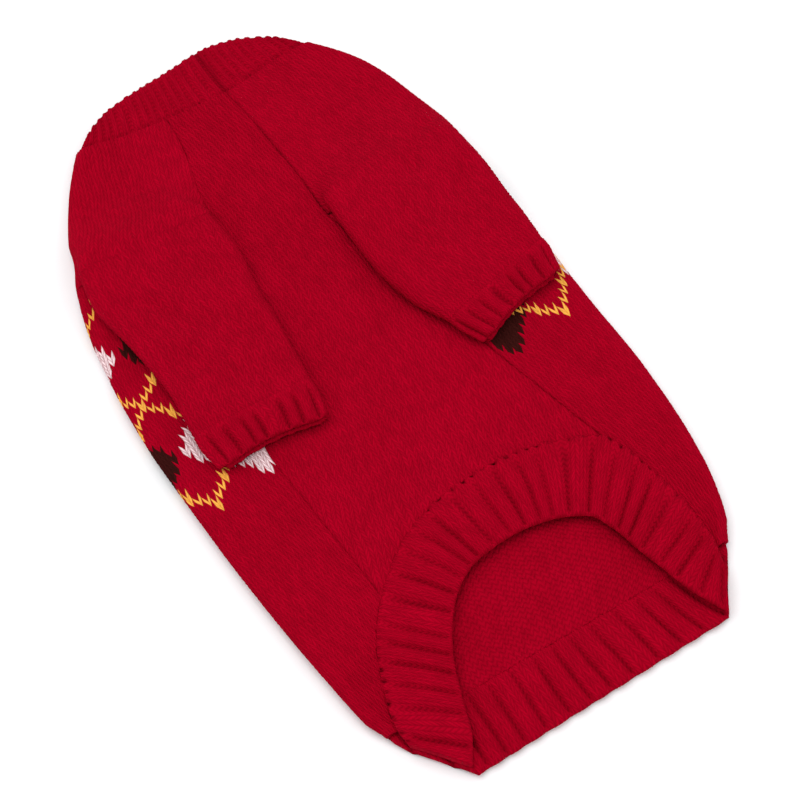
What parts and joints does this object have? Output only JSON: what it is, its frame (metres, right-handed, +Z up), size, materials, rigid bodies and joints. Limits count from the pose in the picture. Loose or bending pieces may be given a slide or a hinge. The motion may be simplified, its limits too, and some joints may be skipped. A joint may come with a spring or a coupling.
{
  "type": "knitted cat sweater",
  "caption": "Knitted pet sweater lying flat, belly side up, with two folded raglan sleeves, a ribbed neck band, ribbed cuffs and an arched ribbed belly opening.",
  "frame": {"origin": "under the middle of the garment's outline, on the surface that it lies on", "axes": "+Y from hem to neck along the length of the back, +X across the garment, +Z up, away from the surface, with the belly side up"},
  "size_m": [0.1954, 0.354, 0.0181],
  "materials": {
    "argyle_jersey": "matt acrylic jersey knit, crimson with off-white, dark brown and yellow argyle",
    "red_jersey": "matt acrylic jersey knit, crimson",
    "red_rib": "matt acrylic rib knit, crimson"
  },
  "bodies": {
    "root": {"back_panel": "argyle_jersey", "back_hem_rib": "red_rib", "belly_panel": "red_jersey", "belly_rib": "red_rib", "neck_band": "red_rib", "sleeve_left": "red_jersey", "sleeve_right": "red_jersey", "cuff_left": "red_rib", "cuff_right": "red_rib"}
  },
  "joints": []
}
